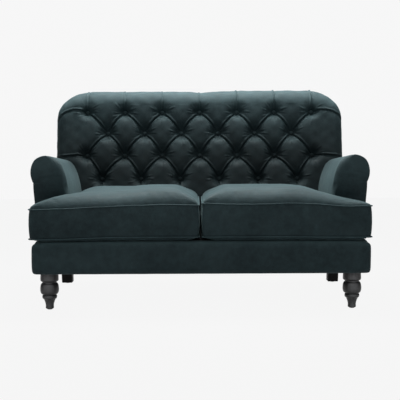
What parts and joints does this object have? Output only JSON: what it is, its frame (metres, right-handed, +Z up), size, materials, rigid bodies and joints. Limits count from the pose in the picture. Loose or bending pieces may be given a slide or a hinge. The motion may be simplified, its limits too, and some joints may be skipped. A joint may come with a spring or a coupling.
{
  "type": "button back sofa",
  "caption": "Upholstered seat for two with a deep buttoned leaning back, rolled arms, loose box cushions with ears and turned front legs.",
  "frame": {"origin": "on the floor, under the middle of the whole sofa's width and depth", "axes": "+X to the right as seen from the front, +Y towards the back, +Z up"},
  "size_m": [1.52, 0.93, 1],
  "materials": {
    "velvet": "deep teal cotton velvet with a soft directional sheen",
    "turned_wood": "dark charcoal stain under a satin lacquer",
    "leg_wood": "black stained, satin",
    "frame_timber": "planed beech and birch ply, unfinished",
    "lining_board": "thin brown hardboard",
    "foam": "open celled upholstery foam",
    "hessian": "coarse woven jute",
    "felt": "grey needled felt",
    "platform_cloth": "dark plain cotton platform cloth",
    "dust_cloth": "black non-woven cloth",
    "wadding": "white polyester wadding",
    "webbing": "woven elastic and jute webbing",
    "twine": "waxed linen twine with a nylon toggle",
    "spring_steel": "bare drawn spring wire",
    "zinc_steel": "zinc plated steel",
    "glide_nylon": "black nylon"
  },
  "bodies": {
    "sofa": {"arm_cover_left": "velvet", "arm_cover_right": "velvet", "arm_facing_boards": "frame_timber", "arm_facing_left": "velvet", "arm_facing_right": "velvet", "arm_linings": "lining_board", "arm_pad_left": "foam", "arm_pad_right": "foam", "arm_piping_left": "velvet", "arm_piping_right": "velvet", "arm_post_left": "frame_timber", "arm_post_right": "frame_timber", "arm_tack_rails": "frame_timber", "arm_top_rail_left": "frame_timber", "arm_top_rail_right": "frame_timber", "back_buttons": "velvet", "back_centre_post": "frame_timber", "back_cover": "velvet", "back_hessian": "hessian", "back_post_left": "frame_timber", "back_post_right": "frame_timber", "back_tack_rail": "frame_timber", "back_top_rail": "frame_timber", "back_tuft_foam": "foam", "back_webbing": "webbing", "back_wedge_foam": "foam", "base_cover": "velvet", "base_wadding": "wadding", "button_twines": "twine", "centre_rail": "frame_timber", "corner_block_screws": "zinc_steel", "corner_blocks": "frame_timber", "dust_cover": "dust_cloth", "foot_glides": "glide_nylon", "frame_dowels": "frame_timber", "front_leg_left": "turned_wood", "front_leg_right": "turned_wood", "front_rail": "frame_timber", "hanger_bolts": "zinc_steel", "outside_arm_left": "velvet", "outside_arm_right": "velvet", "outside_back": "velvet", "rear_leg_left": "leg_wood", "rear_leg_right": "leg_wood", "rear_rail": "frame_timber", "seat_deck_cloth": "platform_cloth", "seat_felt": "felt", "seat_hessian": "hessian", "seat_springs": "spring_steel", "side_rail_left": "frame_timber", "side_rail_right": "frame_timber", "spring_clips": "zinc_steel", "tee_nuts": "zinc_steel"},
    "cushion_left": {"cushion_cover_left": "velvet", "cushion_core_left": "foam", "cushion_piping_left": "velvet"},
    "cushion_right": {"cushion_cover_right": "velvet", "cushion_core_right": "foam", "cushion_piping_right": "velvet"}
  },
  "joints": [
    {"name": "left_cushion_lift", "type": "slide", "parent": "sofa", "child": "cushion_left", "axis": [0, 0, 1], "range_m": [0, 0.3]},
    {"name": "right_cushion_lift", "type": "slide", "parent": "sofa", "child": "cushion_right", "axis": [0, 0, 1], "range_m": [0, 0.3]}
  ]
}
